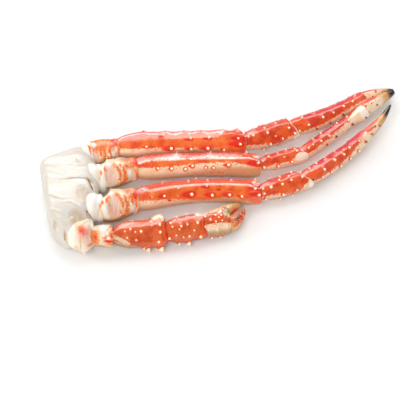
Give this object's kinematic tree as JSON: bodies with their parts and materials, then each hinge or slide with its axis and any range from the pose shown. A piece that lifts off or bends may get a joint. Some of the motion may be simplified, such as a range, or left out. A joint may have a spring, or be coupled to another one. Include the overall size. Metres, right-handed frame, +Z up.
{
  "type": "cooked king crab leg cluster",
  "caption": "Cooked king crab leg cluster: spiny orange-red walking legs and a short claw arm joined at a pale shoulder, lying flat as served.",
  "frame": {"origin": "centre of the bounding box's underside, on the surface the cluster lies on", "axes": "+X from the shoulder towards the leg tips, +Z up, +Y from the claw arm towards the hindmost leg"},
  "size_m": [0.4978, 0.3181, 0.0511],
  "materials": {
    "shoulder": "waxy ivory-white shell, slightly translucent",
    "joint": "satin cream shell mottled with orange",
    "shell": "glossy cooked shell, orange-red above and cream below",
    "claw_shell": "glossy orange shell with many pale spines",
    "tip": "satin cream and golden horn, black at the point"
  },
  "bodies": {
    "root": {"shoulder": "shoulder", "leg_1_coxa": "joint", "leg_1_ischium": "joint", "leg_1_merus": "shell", "leg_1_carpus": "shell", "leg_1_propodus": "shell", "leg_1_dactylus": "tip", "leg_2_coxa": "joint", "leg_2_ischium": "joint", "leg_2_merus": "shell", "leg_2_carpus": "shell", "leg_2_propodus": "shell", "leg_2_dactylus": "tip", "leg_3_coxa": "joint", "leg_3_ischium": "joint", "leg_3_merus": "shell", "leg_3_carpus": "shell", "leg_3_propodus": "shell", "leg_3_dactylus": "tip", "claw_coxa": "joint", "claw_ischium": "joint", "claw_merus": "claw_shell", "claw_carpus": "claw_shell", "claw_palm": "claw_shell", "claw_finger": "tip"}
  },
  "joints": []
}
